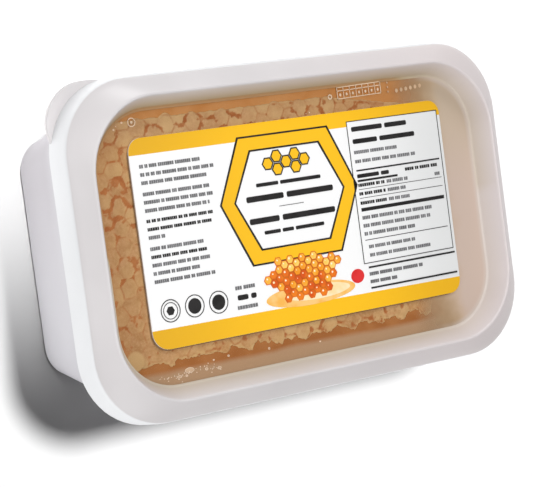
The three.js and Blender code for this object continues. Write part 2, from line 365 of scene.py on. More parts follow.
def round_rectangle(left, low, right, high, radii, steps=8):
    """Counterclockwise from the lower left corner; radii in the same order."""
    spots = ((left, low, 2), (right, low, 3), (right, high, 0), (left, high, 1))
    outline = []
    for (x, y, turn), radius in zip(spots, radii):
        if radius <= 0:
            outline.append((x, y))
            continue
        inward_x = radius if x == left else -radius
        inward_y = radius if y == low else -radius
        for step in range(steps + 1):
            angle = (turn + step / steps) * math.pi / 2
            outline.append((x + inward_x + radius * math.cos(angle),
                            y + inward_y + radius * math.sin(angle)))
    return outline


# Materials

def new_material(name):
    material = bpy.data.materials.new(name)
    material.use_nodes = True
    tree = material.node_tree
    shader = tree.nodes["Principled BSDF"]
    return material, tree, shader


def node(tree, kind, inputs=(), **settings):
    """A shader node; inputs are (socket, value or output) pairs."""
    made = tree.nodes.new(kind)
    for key, value in settings.items():
        setattr(made, key, value)
    for socket, value in inputs:
        if isinstance(value, bpy.types.NodeSocket):
            tree.links.new(value, made.inputs[socket])
        else:
            made.inputs[socket].default_value = value
    return made


def position(tree):
    """The point on the object in metres, as a vector and as its X, Y and Z."""
    coordinates = node(tree, "ShaderNodeTexCoord")
    split = node(tree, "ShaderNodeSeparateXYZ", [(0, coordinates.outputs["Object"])])
    return coordinates.outputs["Object"], split.outputs


def noise(tree, vector, scale, detail=3.0, roughness=0.5, distortion=0.0):
    made = node(tree, "ShaderNodeTexNoise", [
        ("Vector", vector), ("Scale", scale), ("Detail", detail),
        ("Roughness", roughness), ("Distortion", distortion)])
    return made.outputs["Fac"]


def between(tree, value, low, high, start=0.0, end=1.0):
    """A smooth step of a value from low to high."""
    made = node(tree, "ShaderNodeMapRange", [
        ("Value", value), ("From Min", low), ("From Max", high),
        ("To Min", start), ("To Max", end)], interpolation_type="SMOOTHSTEP")
    return made.outputs["Result"]


def calc(tree, operation, first, second):
    return node(tree, "ShaderNodeMath", [(0, first), (1, second)], operation=operation).outputs[0]


def mixed(tree, share, first, second):
    """A mix of two colours."""
    inputs = [(0, share), (6, first), (7, second)]
    return node(tree, "ShaderNodeMix", inputs, data_type="RGBA").outputs[2]


def attribute(tree, name):
    return node(tree, "ShaderNodeAttribute", attribute_name=name).outputs["Fac"]


def bump(tree, shader, height, strength, distance):
    made = node(tree, "ShaderNodeBump", [
        ("Height", height), ("Strength", strength), ("Distance", distance * MM)])
    tree.links.new(made.outputs["Normal"], shader.inputs["Normal"])


def surface(tree, shader, colour, roughness, specular=0.5):
    """Colour, roughness and strength of the reflection."""
    tree.links.new(colour, shader.inputs["Base Color"])
    shader.inputs["Roughness"].default_value = roughness
    shader.inputs["Specular IOR Level"].default_value = specular


def milky_plastic():
    """Lid rim and skirt: milky, satin, with a painted highlight on the skirt, tinted by the honey behind
    the foot of the recess together with painted glow and painted shade.
    """
    material, tree, shader = new_material("milky_plastic")
    vector, xyz = position(tree)
    cloud = noise(tree, vector, 45.0, 2.0)
    base = mixed(tree, between(tree, cloud, 0.3, 0.7), linear(211, 207, 208), linear(216, 212, 213))
    base = mixed(tree, between(tree, xyz[0], -0.02, 0.07), base, linear(217, 208, 208))
    # The skirt is painted whiter than the rim, most towards the front (-Y): painted highlight.
    skirt_highlight = mixed(tree, between(tree, xyz[1], 0.01, -0.03), linear(231, 232, 234), linear(244, 245, 247))
    base = mixed(tree, attribute(tree, "skirt"), base, skirt_highlight)
    # Honey colour seen through the recess wall, with painted glow and painted shade, strongest at the
    # recess foot.
    glow = attribute(tree, "glow")
    olive = mixed(tree, glow, base, linear(180, 160, 122))
    honey_tint_and_painted_light = mixed(tree, between(tree, glow, 0.84, 1.0), olive, linear(176, 136, 94))
    surface(tree, shader, honey_tint_and_painted_light, 0.38, 0.4)
    bump(tree, shader, noise(tree, vector, 900.0, 2.0), 0.05, 0.2)
    return material


def panel_plastic():
    """The sunken panel: clear where honey wets it, hazy where it is dry."""
    material, tree, shader = new_material("panel_plastic")
    vector, xyz = position(tree)
    wander = noise(tree, vector, 90.0, 3.0)
    shift = calc(tree, "MULTIPLY", calc(tree, "SUBTRACT", wander, 0.5), 0.012)
    across = calc(tree, "ADD", xyz[0], shift)
    dry = between(tree, across, 0.034, 0.052)
    edge = attribute(tree, "milk")
    alpha = calc(tree, "ADD", calc(tree, "MULTIPLY", calc(tree, "MAXIMUM", dry, edge), 0.97), 0.03)
    haze = mixed(tree, between(tree, xyz[1], 0.0, 0.030), linear(196, 176, 163), linear(189, 171, 151))
    haze = mixed(tree, between(tree, across, 0.044, 0.056), linear(189, 160, 126), haze)
    colour = mixed(tree, edge, haze, linear(200, 188, 180))
    surface(tree, shader, colour, 0.25, 0.15)
    tree.links.new(alpha, shader.inputs["Alpha"])
    return material


def tub_plastic():
    """Tub: milky and cool, lighter close under the lid with painted light, and lighter towards its
    front.
    """
    material, tree, shader = new_material("tub_plastic")
    vector, xyz = position(tree)
    cloud = noise(tree, vector, 30.0, 2.0)
    base = mixed(tree, between(tree, cloud, 0.3, 0.7), linear(190, 186, 191), linear(197, 193, 198))
    base = mixed(tree, between(tree, xyz[1], 0.026, -0.022), base, linear(229, 227, 232))
    # Lighter towards the top, close under the lid: painted light.
    upper = mixed(tree, between(tree, xyz[2], 0.016, 0.029), base, linear(222, 222, 226))
    surface(tree, shader, upper, 0.4, 0.4)
    bump(tree, shader, noise(tree, vector, 700.0, 2.0), 0.05, 0.2)
    return material


def label_white():
    """White film that greys towards its right end as painted shade."""
    material, tree, shader = new_material("label_white")
    _, xyz = position(tree)
    # Grey towards the right end: painted shade.
    right_end_shade = between(tree, xyz[0], 0.010, 0.056)
    colour = mixed(tree, right_end_shade, linear(250, 250, 250), linear(220, 221, 221))
    surface(tree, shader, colour, 0.35)
    return material


def label_yellow():
    """Warm yellow print, deeper towards both ends."""
    material, tree, shader = new_material("label_yellow")
    _, xyz = position(tree)
    side = node(tree, "ShaderNodeMath", [(0, xyz[0])], operation="ABSOLUTE").outputs[0]
    colour = mixed(tree, between(tree, side, 0.010, 0.055), linear(252, 194, 26), linear(230, 175, 26))
    surface(tree, shader, colour, 0.35)
    return material


def print_ink(name, red, green, blue, other=None):
    """Ink of one colour clouded with another, or with a slightly paler one."""
    material, tree, shader = new_material(name)
    vector, _ = position(tree)
    first = linear(red, green, blue)
    second = linear(*other) if other else linear(red + 14, green + 14, blue + 14)
    colour = mixed(tree, between(tree, noise(tree, vector, 260.0, 2.0), 0.35, 0.65), first, second)
    surface(tree, shader, colour, 0.4)
    return material


def comb_wax():
    """Wax cappings: tan, paler on thick wax, with painted highlights on the caps and painted shade at
    the left end, orange where honey stands in the seams.
    """
    material, tree, shader = new_material("comb_wax")
    vector, xyz = position(tree)
    mottle = noise(tree, vector, 420.0, 4.0, 0.6)
    broad = noise(tree, vector, 45.0, 2.0)
    grain = noise(tree, vector, 1400.0, 2.0)
    wax = mixed(tree, between(tree, mottle, 0.3, 0.7), linear(172, 126, 78), linear(196, 152, 106))
    wax = mixed(tree, between(tree, broad, 0.35, 0.65), wax, linear(184, 135, 84))
    wax = mixed(tree, between(tree, grain, 0.50, 0.70, 0.0, 0.25), wax, linear(206, 168, 124))
    wax = mixed(tree, between(tree, grain, 0.50, 0.30, 0.0, 0.25), wax, linear(160, 108, 62))
    # Paler wax, together with painted highlights on one side of each cap.
    wax = mixed(tree, attribute(tree, "pale_and_highlight"), wax, linear(206, 169, 116))
    # Darker at the left end, under the lid's rim: painted shade.
    wax = mixed(tree, between(tree, xyz[0], -0.061, -0.050, 0.22, 0.0), wax, linear(138, 88, 50))
    wax = mixed(tree, between(tree, xyz[1], 0.026, 0.032, 0.0, 0.18), wax, linear(214, 174, 132))
    wet = mixed(tree, between(tree, mottle, 0.35, 0.65), linear(158, 88, 40), linear(172, 106, 56))
    colour = mixed(tree, attribute(tree, "wet"), wax, wet)
    surface(tree, shader, colour, 0.5, 0.25)
    bump(tree, shader, grain, 0.15, 0.2)
    return material


def honey_syrup():
    """Honey under the panel: deep orange beside the comb, tan where the tub's wall is close."""
    material, tree, shader = new_material("honey_syrup")
    vector, xyz = position(tree)
    swirl = noise(tree, vector, 120.0, 2.0, 0.5, 0.5)
    front = mixed(tree, between(tree, swirl, 0.3, 0.7), linear(160, 98, 50), linear(171, 111, 62))
    back = mixed(tree, between(tree, swirl, 0.3, 0.7), linear(193, 128, 69), linear(202, 142, 86))
    deep = mixed(tree, between(tree, xyz[1], -0.02, 0.02), front, back)
    colour = mixed(tree, attribute(tree, "thin"), deep, linear(180, 144, 111))
    surface(tree, shader, colour, 0.12)
    return material


def floor_paint():
    material, _, shader = new_material("floor_paint")
    shader.inputs["Base Color"].default_value = (0.55, 0.55, 0.55, 1)
    shader.inputs["Roughness"].default_value = 0.9
    shader.inputs["Specular IOR Level"].default_value = 0.0
    return material


# Lid

def lid_corner(distance):
    """Corner radius at a distance inside the lid's outline."""
    return np.interp(distance, [0, CREST_INSET, PANEL_INSET], [LID_CORNER, CREST_CORNER, PANEL_CORNER])


def lid_ring(distance, z):
    radius = lid_corner(distance) - max(0.0, distance - PANEL_INSET) - min(0.0, distance)
    return ring(HALF_X - distance, HALF_Y - distance, radius, z)


def rim_slope_z(distance):
    share = distance / CREST_INSET
    return CREASE_Z + (CREST_Z - CREASE_Z) * share * (1 + RIM_BULGE * (1 - share))


def lid_section():
    """(inset, height) of the lid's skin from the panel over the crest to the skirt foot and back."""
    panel_edge = PANEL_INSET + PANEL_LIP
    slope = [(d, rim_slope_z(d)) for d in np.linspace(4.4, 1.2, 7)]
    corners = [(panel_edge, PANEL_Z), (PANEL_INSET - 0.1, PANEL_Z), (CREST_INSET + 0.2, CREST_Z + 0.2)]
    corners += slope + [(0.0, CREASE_Z - 0.1), (-SKIRT_FLARE, SKIRT_FOOT_Z)]
    corners += [(SKIRT_SHEET - SKIRT_FLARE, SKIRT_FOOT_Z), (1.1, 35.4), (2.9, 37.5), (4.8, 38.6)]
    corners += [(8.2, PANEL_FOOT), (panel_edge, PANEL_FOOT)]
    cuts = [0.55, 0.9] + [0.25] * len(slope) + [1.2, 0.3, 0.3, 0.8, 0.8, 0.8, 0.5]
    return rounded(corners, cuts)


def honey_tint_shade_at(distance, point):
    """How far the honey behind tints the lid, with painted glow and painted shade: only the recess, most
    at its foot, weaker on the front side, little at +X.
    """
    if distance < CREST_INSET:
        return 0.0
    x, y, z = point
    low = progress(z, CREST_Z - 0.3, PANEL_Z)
    empty = progress(x, TINT_FROM, TINT_TO)
    return (low ** 0.65 if y > 0 else 0.6 * low ** 2.0) * (1 - 0.5 * empty)


def milk_at(distance, point):
    """How milky the panel's margin is: clear all round but at the empty +X end."""
    if point[2] > PANEL_Z + 0.02:
        return 1.0
    margin = progress(distance, MILKY_EDGE + MILKY_FADE, MILKY_EDGE)
    return margin * progress(point[0], MILKY_FROM, MILKY_TO)


def make_lid():
    """The shell of the lid; only the flat of its panel, above and below, is clear."""
    section = lid_section()
    rings = [lid_ring(d, z) for d, z in section]
    points, faces = loft(rings)
    lid = make_piece("lid_shell", points, faces, 40)
    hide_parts("lid")
    lid.data.materials.append(milky_plastic())
    lid.data.materials.append(panel_plastic())
    placed = [(d, point) for (d, _), line in zip(section, rings) for point in line]
    paint(lid, "milk", [milk_at(d, point) for d, point in placed])
    paint(lid, "glow", [honey_tint_shade_at(d, point) for d, point in placed])
    paint(lid, "skirt", [d < 0.3 and point[2] < CREASE_Z for d, point in placed])
    for polygon in lid.data.polygons:
        heights = points[list(polygon.vertices), 2]
        flat = any(np.abs(heights - z).max() <= 0.02 for z in (PANEL_Z, PANEL_FOOT))
        polygon.material_index = 1 if flat else 0


def make_tab():
    """The pull tab: a corner plate that squares off the round of the skirt foot."""
    out_x, out_y = HALF_X + SKIRT_FLARE, HALF_Y + SKIRT_FLARE
    skirt = LID_CORNER + SKIRT_FLARE
    root = skirt - 0.6
    outline = [(-out_x + TAB_LONG_LEG, out_y)]
    outline += arc(-out_x + TAB_CORNER, out_y - TAB_CORNER, TAB_CORNER, math.pi / 2, math.pi)
    outline.append((-out_x, out_y - TAB_SHORT_LEG))
    start = math.pi - math.asin((skirt - TAB_SHORT_LEG - TAB_ROOT) / root)
    end = math.acos((TAB_LONG_LEG + TAB_ROOT - skirt) / root)
    outline += arc(-out_x + skirt, out_y - skirt, root, start, end)
    tab = make_plates("lid_tab", [outline], SKIRT_FOOT_Z + 0.02, SKIRT_FOOT_Z + TAB_SHEET,
                      bpy.data.materials["milky_plastic"], 60)
    bevel = tab.modifiers.new("edge", "BEVEL")
    bevel.width, bevel.segments, bevel.limit_method = 0.35 * MM, 3, "ANGLE"


# Tub

def tub_half(share, shift):
    """Half length and half width at a share of the tub's height, moved in by shift."""
    return (HALF_X - (BASE_INSET_X + (TUB_TOP_INSET - BASE_INSET_X) * share) - shift,
            HALF_Y - (BASE_INSET_Y + (TUB_TOP_INSET - BASE_INSET_Y) * share) - shift)


def tub_level(share, z, shift):
    half_x, half_y = tub_half(share, shift)
    return ring(half_x, half_y, BASE_CORNER + (TUB_TOP_CORNER - BASE_CORNER) * share - shift, z)


def tub_wall(z, shift):
    """A ring on the sloping wall, moved in by shift."""
    return tub_level(progress(z, BASE_ROUND, TUB_TOP_Z), z, shift)


def make_tub():
    """A hollow tapered shell, from its inner floor over the rim and bead to the recessed base."""
    floor_round = ((0, 2.4), (0.5, 1.0), (1.2, 0.3))
    inner = [tub_level(0, FLOOR_Z + rise, WALL + shift) for rise, shift in floor_round]
    inner += [tub_wall(z, WALL) for z in (FLOOR_Z + 2.2, TUB_MID_Z, TUB_TOP_Z - RIM_ROUND)]
    rim = [tub_wall(z, shift) for z, shift in (
        (TUB_TOP_Z, WALL - RIM_ROUND), (TUB_TOP_Z, RIM_ROUND), (TUB_TOP_Z - RIM_ROUND, 0),
        (BEAD_HIGH_Z + 0.5, 0), (BEAD_HIGH_Z, -BEAD_OUT),
        (BEAD_LOW_Z, -BEAD_OUT), (BEAD_LOW_Z - 0.4, 0))]
    outer = [tub_wall(z, 0) for z in (26, TUB_MID_Z, 12, 6)]
    for angle in np.linspace(0, math.pi / 2, 6):
        inset = BASE_ROUND * (1 - math.cos(angle))
        outer.append(tub_level(0, BASE_ROUND * (1 - math.sin(angle)), inset))
    lift = BASE_ROUND + FOOT_RING + BASE_LIFT
    foot = [tub_level(0, 0, BASE_ROUND + FOOT_RING), tub_level(0, BASE_LIFT, lift)]
    points, faces = loft(inner + rim + outer + foot)
    tub = make_piece("tub_shell", points, faces, 40)
    tub.data.materials.append(tub_plastic())
    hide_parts("tub")


# Label

def headline(x0, x1, y, height, breaks):
    """A greeked heading: one plain bar with round ends for each word."""
    shapes, x, half = [], x0, height / 2
    for k, share in enumerate(breaks):
        end = x + (x1 - x0) * share
        room = height * 0.7 if k < len(breaks) - 1 else 0
        shapes.append(round_rectangle(x, y - half, end - room, y + half, [height * 0.3] * 4, 3))
        x = end
    return shapes


def words(x0, x1, y, height, letter):
    """Greeked text: words that are rows of small plain blocks of one height."""
    shapes, x = [], x0
    while x < x1 - letter:
        for _ in range(rng.integers(2, 9)):
            width = letter * rng.uniform(0.6, 1.1)
            if x + width > x1:
                break
            shapes.append(rectangle(x, y - height / 2, x + width, y + height / 2))
            x += width + letter * 0.2
        x += letter * 0.6
    return shapes


def make_print(name, plates, material, layer=1):
    """Thin printed shapes on the label, each layer a little over the one below."""
    top = LABEL_TOP + PRINT_SHEET * layer
    make_plates(name, plates, LABEL_TOP - 0.02, top, material, 20)


def make_label():
    """The film with its two yellow bands, and a thin painted shadow that shows past its left and lower
    edges.
    """
    radii = [LABEL_CORNER + 1] + [LABEL_CORNER] * 3
    outline = round_rectangle(LABEL_LEFT, LABEL_LOW, LABEL_RIGHT, LABEL_HIGH, radii)
    sheet = make_plates("label_sheet", [outline], LABEL_FOOT, LABEL_TOP, label_white())
    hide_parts("label")
    edge, shift = 0.01, 0.3
    top = round_rectangle(LABEL_LEFT + edge, BAND_HIGH_FOOT, LABEL_RIGHT - edge, LABEL_HIGH - edge,
                          [0, 0, LABEL_CORNER, LABEL_CORNER])
    low = round_rectangle(LABEL_LEFT + edge, LABEL_LOW + edge, LABEL_RIGHT - edge, BAND_LOW_TOP,
                          [LABEL_CORNER + 1, LABEL_CORNER, 0, 0])
    low = [(x, y - BAND_SLOPE * (x - LABEL_LEFT)) if y == BAND_LOW_TOP else (x, y) for x, y in low]
    yellow = label_yellow()
    make_print("label_bands", [top, low], yellow)
    # A dark plate under the film, showing past its left and lower edges: painted shadow.
    rim = round_rectangle(LABEL_LEFT - shift, LABEL_LOW - shift, LABEL_RIGHT - 1, LABEL_HIGH - 1, radii)
    make_plates("label_edge_shadow", [rim], PANEL_Z + 0.01, PANEL_Z + 0.06,
                print_ink("label_shadow_brown", 118, 90, 64))
    return yellow


def make_centre(yellow, dark):
    """The middle of the label: a six-sided frame, and a motif of seven cells at its top."""
    def line(shift):
        return stretched_hexagon(CENTRE_X, CENTRE_Y, 23.0 + shift * 1.2, 17.3 + shift, 8.0 + shift * 0.3)

    make_print("label_frame", [(line(0), line(-FRAME_BAND))], yellow, 2)
    make_print("label_frame_lines", [(line(FRAME_LINE), line(0)),
                                     (line(-FRAME_BAND), line(-FRAME_BAND - FRAME_LINE))], dark, 3)
    reach = 2.0
    steps = ((-2, 0), (-1, 1), (-1, -1), (0, 0), (1, 1), (1, -1), (2, 0))
    spots = [(CENTRE_X + step * reach * HEX_STEP, MOTIF_Y + rise * reach * HEX_RISE)
             for step, rise in steps]
    outer = [(hexagon(x, y, reach), hexagon(x, y, reach - 0.42)) for x, y in spots]
    make_print("label_motif_lines", outer, dark, 3)
    make_print("label_motif", [hexagon(x, y, reach - 0.4) for x, y in spots], yellow, 2)


def make_text(dark, grey):
    """Greeked paragraphs at the left, headings in the frame and a short block under it."""
    bold, plain = [], []
    paragraphs = ((22.1, (19.2, 23.6, 21.4), ()), (14.7, (21.5, 22.2, 21.0), ()),
                  (7.5, (21.4, 20.4, 5.2), (0, 1)), (0.1, (17.2, 17.8, 18.4, 15.0, 19.4), (1,)))
    for top, lengths, strong_rows in paragraphs:
        for row, length in enumerate(lengths):
            strong = row in strong_rows
            height = 0.85 if strong else 0.95
            blocks = words(TEXT_LEFT, TEXT_LEFT + length, top - LINE_STEP * row, height, 0.6)
            (bold if strong else plain).extend(blocks)
    headings = ((12.6, 11.0, 1.0, (0.37, 0.63)), (9.0, 14.8, 1.6, (0.46, 0.54)),
                (2.9, 14.6, 1.6, (0.38, 0.62)), (-0.6, 10.2, 1.0, (0.3, 0.22, 0.48)))
    for y, half, height, breaks in headings:
        bold += headline(CENTRE_X - half, CENTRE_X + half, y, height, breaks)
    bold.append(rectangle(-8.0, 6.0, 0.4, 6.15))
    plain += words(-26, -18.8, -14.2, 1.0, 0.75)
    bold += headline(-25.6, -19.4, -16.9, 1.4, (0.72, 0.28))
    plain += words(-26, -18.8, -19.6, 1.0, 0.75)
    make_print("label_bold", bold, dark, 3)
    make_print("label_text", plain, grey, 3)


def make_badges(dark):
    """Three plain badges: a hexagon and two discs, each in a ring."""
    plates = []
    for x, y, filled in ((-47.3, -16.9, False), (-39.6, -16.8, True), (-31.9, -17.0, True)):
        plates.append((disc(x, y, 3.1), disc(x, y, 2.85)))
        if filled:
            plates.append(disc(x, y, 2.1))
        else:
            plates.append((disc(x, y, 2.3), disc(x, y, 2.1)))
            plates.append(hexagon(x, y, 1.3))
    make_print("label_badges", plates, dark, 3)


def make_table(dark, grey):
    """The plain ruled table at the right."""
    left, right, high, low = 18.7, 51.5, 26.5, -13.8
    make_print("label_table_field", [rectangle(left, low, right, high)],
               bpy.data.materials["label_white"], 2)
    line = 0.22
    outer = rectangle(left - line, low - line, right + line, high + line)
    bold = [(outer, rectangle(left, low, right, high))]
    rules = ((20, 50.6, 12.5, 0.45), (20, 34.5, 9.55, 0.6), (20, 50.6, 7.1, 0.15), (20, 50.6, 4.6, 0.15),
             (20, 50.6, 1.3, 1.0), (20, 50.6, -7.4, 0.2), (20, 52, -15.2, 0.5), (20, 52, -21.1, 0.5))
    for x0, x1, y, weight in rules:
        bold.append(rectangle(x0, y - weight / 2, x1, y + weight / 2))
    bold += headline(20, 40, 24.3, 1.35, (0.6, 0.4)) + headline(20, 42.5, 20.8, 1.35, (0.43, 0.57))
    plain = words(20, 35.5, 17.7, 0.95, 0.65) + words(20, 42, 15.1, 0.95, 0.65)
    bold += headline(20, 31.5, 10.9, 1.1, (0.75, 0.25)) + words(37.5, 50, 10.9, 0.9, 0.7)
    for y in (8.3, 5.85, 3.2):
        bold += words(20, 29.5, y, 0.9, 0.68)
        plain += words(30.3, 38, y, 0.95, 0.62)
    plain += words(48.2, 50.4, 8.3, 0.95, 0.7)
    for y, x1 in ((-1.0, 46), (-3.3, 45), (-5.6, 39)):
        plain += words(20, x1, y, 1.0, 0.62)
    for y, x1 in ((-9.4, 38), (-11.8, 44)):
        plain += words(21, x1, y, 0.95, 0.62)
    for y, x1 in ((-17.1, 40.5), (-19.3, 30)):
        plain += words(20, x1, y, 0.95, 0.66)
    make_print("label_table_lines", bold, dark, 4)
    make_print("label_table_text", plain, grey, 4)


def make_picture():
    """A generic cluster of comb cells in ambers over a pool, and a red spot beside it."""
    reach, columns, rows = 1.3, 13, 6
    left, top = -15.0, -9.0
    middle_x, middle_y, half_x, half_y = left + 6 * reach * HEX_STEP, -13.6, 12.6, 6.6
    back, shine = [], []
    cells = {"amber": [], "orange": [], "yellow": []}
    for column in range(columns):
        for row in range(rows):
            x = left + column * reach * HEX_STEP
            y = top - row * reach * 2 * HEX_RISE - (column % 2) * reach * HEX_RISE
            away = ((x - middle_x) / half_x) ** 2 + ((y - middle_y) / half_y) ** 2
            if away > 1 + 0.22 * rng.uniform(-1, 1):
                continue
            back.append(hexagon(x, y, reach * 1.06))
            low = (-8 - y) / 12 + rng.uniform(-0.35, 0.35)
            kind = "yellow" if low < 0.2 else "amber" if low < 0.55 else "orange"
            cells[kind].append(hexagon(x, y, reach * 0.84))
            shine.append(disc(x - 0.3, y + 0.35, rng.uniform(0.14, 0.34), 8))
    inks = {"amber": print_ink("print_amber", 246, 152, 26, (252, 184, 64)),
            "orange": print_ink("print_orange", 220, 84, 8, (240, 126, 20)),
            "yellow": print_ink("print_yellow", 250, 190, 52, (253, 214, 112))}
    pool = ellipse(-1.0, -19.4, 15.4, 3.1, 48)
    glow = ellipse(1.5, -19.2, 11.0, 2.0, 48)
    make_print("label_pool", [pool], print_ink("print_gold", 248, 184, 84, (252, 204, 128)), 3)
    make_print("label_pool_glow", [glow], print_ink("print_pale", 253, 222, 160, (255, 236, 196)), 4)
    make_print("label_cells_back", back, print_ink("print_rust", 206, 92, 14, (226, 118, 26)), 5)
    for kind, plates in cells.items():
        make_print("label_cells_" + kind, plates, inks[kind], 6)
    make_print("label_cells_shine", shine, print_ink("print_shine", 255, 236, 190, (255, 246, 222)), 7)
    red = print_ink("print_red", 214, 32, 36, (224, 48, 48))
    make_print("label_spot", [ellipse(15.7, -17, 2.3, 2.0, 28)], red, 3)


def make_marks():
    """Moulded marks along the panel's back edge, left blank: rings, dots and a frame of dots."""
    left, width, foot, height, rise, windows = 17.0, 15.8, 33.2, 3.4, 0.3, 7

    def slanted(u, v):
        return left + width * u, foot + height * v + rise * u

    def box(u0, v0, u1, v1):
        return [slanted(u0, v0), slanted(u1, v0), slanted(u1, v1), slanted(u0, v1)]

    plates = [oval_ring(-51.3, 34.0, 1.25, 1.25, 0.28), oval_ring(14.4, 34.2, 0.75, 0.75, 0.36)]
    plates.append(disc(-51.3, 34.0, 0.4, 12))
    plates += [box(0, v, 1, v + 0.07) for v in (0, 0.66, 0.95)]
    plates += [box(u, 0, u + 0.014, 1) for u in (0, 0.986)]
    plates += [box(u / windows, 0.07, u / windows + 0.011, 0.95) for u in range(1, windows)]
    plates += [ellipse(*slanted((u + 0.5) / windows, 0.36), 0.34, 0.42, 12) for u in range(windows)]
    faint = [ellipse(35.3, y, 0.26, 0.3, 10) for y in (33.7, 35.0, 36.3)]
    faint += [ellipse(38.4 + 1.75 * k, 33.7 + 0.12 * k, 0.5, 0.6, 12) for k in range(6)]
    specks = ((-54.3, 34.2, 0.3), (-57.0, 32.6, 0.3), (-56.2, 33.4, 0.15), (6.6, 30.6, 0.2),
              (5.4, 30.4, 0.15))
    plates += [disc(x, y, radius, 8) for x, y, radius in specks]
    for name, group, colour in (("panel_marks", plates, (224, 198, 168)),
                                ("panel_marks_faint", faint, (204, 172, 138))):
        make_plates(name, group, PANEL_Z - 0.02, PANEL_Z + 0.04, print_ink(name, *colour))


def make_bubbles():
    """Flat bubbles of air where the honey meets the panel in front of the comb, with lighter edges as
    painted highlight.
    """
    places = [(-43.4, -33.6, 1.5, 0.75), (-38.0, -34.2, 0.5, 0.4), (-33.9, -34.6, 0.65, 0.42),
              (-46.8, -34.8, 0.8, 0.4), (-44.5, -34.9, 0.4, 0.3), (-30.5, -31.9, 0.35, 0.3),
              (-35.4, -32.2, 0.3, 0.25), (-17.0, -32.2, 0.35, 0.35), (0.4, -33.2, 0.3, 0.25)]
    for _ in range(46):
        places.append((rng.uniform(-53, -33), rng.normal(-34.3, 0.6), *rng.uniform(0.08, 0.2, 2)))
    large = [place for place in places if place[2] > SMALL_BUBBLE]
    small = [place for place in places if place[2] <= SMALL_BUBBLE]
    films = [ellipse(*place) for place in large]
    # Each large bubble's edge ring and each small bubble get the lighter colour: painted highlight.
    edges = [oval_ring(*place, 0.13) for place in large] + [ellipse(*place, 8) for place in small]
    for name, group, colour, rise in (("bubble_films", films, (198, 164, 132), 0.03),
                                      ("bubble_edge_highlights", edges, (226, 204, 180), 0.05)):
        make_plates(name, group, HONEY_Z - 0.02, HONEY_Z + rise, print_ink(name, *colour))


# Comb

def rounded_distance(x, y, left, right, low, high, radius):
    """Distance inside a rounded rectangle, in millimetres, below zero outside it."""
    past_x = np.abs(x - (left + right) / 2) - (right - left) / 2 + radius
    past_y = np.abs(y - (low + high) / 2) - (high - low) / 2 + radius
    outside = np.hypot(np.maximum(past_x, 0), np.maximum(past_y, 0))
    return radius - outside - np.minimum(np.maximum(past_x, past_y), 0)


def value_noise(x, y, size, seed):
    """Smooth noise from 0 to 1 with features of a given size in millimetres."""
    table = np.random.default_rng(seed).random((64, 64))
    u, v = x / size + 300.37, y / size + 300.71
    i, j = np.floor(u).astype(int), np.floor(v).astype(int)
    s, t = u - i, v - j
    s, t = s * s * (3 - 2 * s), t * t * (3 - 2 * t)
    i, j = i % 64, j % 64
    next_i, next_j = (i + 1) % 64, (j + 1) % 64
    upper = table[i, j] * (1 - s) + table[next_i, j] * s
    lower = table[i, next_j] * (1 - s) + table[next_i, next_j] * s
    return upper * (1 - t) + lower * t


def layered_noise(x, y, size, seed):
    """Noise of a given size with three finer and weaker layers, from 0 to 1."""
    weights = [0.5 ** k for k in range(4)]
    layers = [value_noise(x, y, size * weight, seed + k) * weight for k, weight in enumerate(weights)]
    return sum(layers) / sum(weights)


def cell_seeds():
    """Cell centres in columns along Y, each moved a little off the regular grid."""
    column = CELL * math.sqrt(3) / 2
    moves = np.random.default_rng(7)
    seeds = []
    for i in range(-1, int((COMB_RIGHT - COMB_LEFT) / column) + 3):
        for j in range(-2, int((COMB_BACK - COMB_FRONT) / CELL) + 3):
            x = COMB_LEFT + CELL / 2 + i * column
            y = COMB_FRONT + (j + (i % 2) / 2) * CELL
            seeds.append((x + moves.normal(0, 0.42), y + moves.normal(0, 0.42)))
    return np.array(seeds)


def nearest_cells(x, y, seeds):
    """The two cells nearest to each point, and the distances to their centres."""
    distance = np.hypot(x[:, None] - seeds[None, :, 0], y[:, None] - seeds[None, :, 1])
    order = np.argsort(distance, axis=1)[:, :2]
    return order, np.take_along_axis(distance, order, axis=1)


def pair_chance(first, second):
    """A number from 0 to 1 for the seam between two cells, the same from both sides."""
    pair = np.minimum(first, second) * 4099 + np.maximum(first, second)
    return pair * 2654435761 % 2 ** 32 / 2 ** 32


def honey_share(x, y, border, centre, seam_chance, cell_chance, fine):
    """Honey in the thin lines of the seams alone, and with gaps, cracks, blots and drowned cells."""
    patchy = layered_noise(x, y, 7.0, 85)
    strength = 0.10 + 0.56 * progress(fine + 0.4 * seam_chance, 0.5, 0.85)
    line = progress(border, SEAM_LINE, SEAM_CORE) * strength
    gap = progress(centre + (fine - 0.5) * 1.6, CAP_GAP, CAP_GAP + 0.25) * progress(patchy, 0.42, 0.52)
    open_seam = seam_chance > OPEN_OVER
    width = open_seam * CRACK_WIDTH * progress(patchy, 0.38, 0.58) + (fine - 0.60) * 1.3
    crack = open_seam * progress(width - border, 0.0, 0.16)
    blot = layered_noise(x, y, BLOT_SIZE, 55) + 0.10 * (patchy - 0.5)
    blot = progress(blot, BLOT_LEVEL, BLOT_LEVEL + 0.04) * 0.9
    drowned = np.where(cell_chance > DROWNED_OVER, progress(border, 0.1, 0.5) * 0.62, 0)
    return line, np.maximum.reduce([line, gap, crack, blot, drowned])


def pale_and_highlight_share(border, side, cell_chance, fine, broad):
    """Paler wax in broad patches and on some caps, and painted highlight to one side of each cap, with a
    crescent on most.
    """
    pale_and_highlight = 0.20 + (broad - 0.5) * 1.3 + (cell_chance - 0.5) * 0.45 + side * 0.4 + (fine - 0.5) * 0.7
    highlight_crescent = progress(np.abs(border - 0.55), 0.24, 0.06) * progress(side, 0.12, 0.34)
    return np.maximum(np.clip(pale_and_highlight, 0, 0.7), highlight_crescent * (cell_chance > 0.4) * 0.45)


